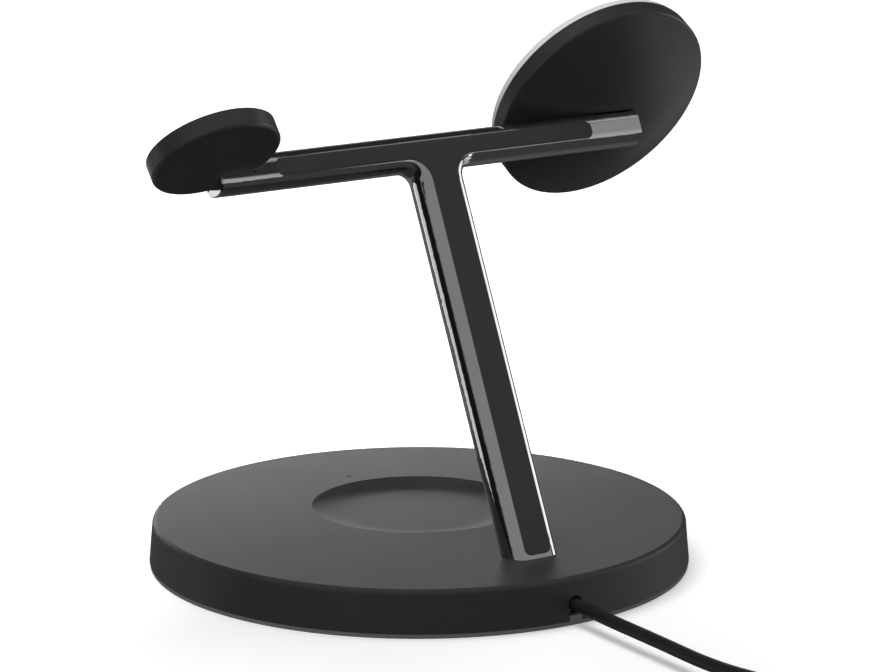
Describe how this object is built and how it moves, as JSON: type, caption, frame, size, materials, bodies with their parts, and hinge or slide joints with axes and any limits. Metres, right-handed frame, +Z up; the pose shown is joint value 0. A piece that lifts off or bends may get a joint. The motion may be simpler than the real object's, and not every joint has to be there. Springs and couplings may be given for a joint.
{
  "type": "wireless charging stand",
  "caption": "Wireless charging stand: round base with a shallow earbud dish, leaning T-shaped metal frame, large phone puck and small watch puck on its crossbar, and a power cord.",
  "frame": {"origin": "centre of the round base at the underside of its foot ring, on the table", "axes": "+Z up; -Y is the way the pucks' faces look; +X along the crossbar, from the phone puck to the watch puck"},
  "size_m": [0.1661, 0.2668, 0.1335],
  "materials": {
    "soft_black": "soft-touch matt",
    "plate_steel": "plain steel plate",
    "foot_rubber": "matt grey",
    "screw_steel": "zinc plated",
    "copper": "enamelled copper wire",
    "ferrite": "matt sintered",
    "circuit_board": "solder mask",
    "light_pipe": "smoked",
    "dark_chrome": "polished",
    "inlay_black": "matt",
    "lead_black": "satin insulation",
    "puck_black": "satin",
    "face_white": "soft satin",
    "magnet_nickel": "nickel plated",
    "watch_white": "satin",
    "grommet_rubber": "matt",
    "cord_black": "satin jacket",
    "tie_black": "woven strap",
    "plug_black": "satin",
    "plug_steel": "plated"
  },
  "bodies": {
    "root": {"base_cover": "soft_black", "base_plate": "plate_steel", "foot_ring": "foot_rubber", "plate_screws": "screw_steel", "post_screws": "screw_steel", "earbud_coil": "copper", "earbud_ferrite": "ferrite", "main_board": "circuit_board", "status_light": "light_pipe", "t_frame": "dark_chrome", "t_inlay": "inlay_black", "phone_lead": "lead_black", "watch_lead": "lead_black", "phone_housing": "puck_black", "phone_face": "face_white", "phone_magnets": "magnet_nickel", "phone_coil": "copper", "phone_ferrite": "ferrite", "phone_board": "circuit_board", "phone_screws": "screw_steel", "watch_housing": "puck_black", "watch_face": "watch_white", "watch_coil": "copper", "watch_ferrite": "ferrite", "watch_magnet": "magnet_nickel", "watch_screw": "screw_steel", "cord_grommet": "grommet_rubber", "power_cord": "cord_black", "power_cord_coil": "cord_black", "cord_tie": "tie_black", "plug_body": "plug_black", "plug_shell": "plug_steel"}
  },
  "joints": []
}
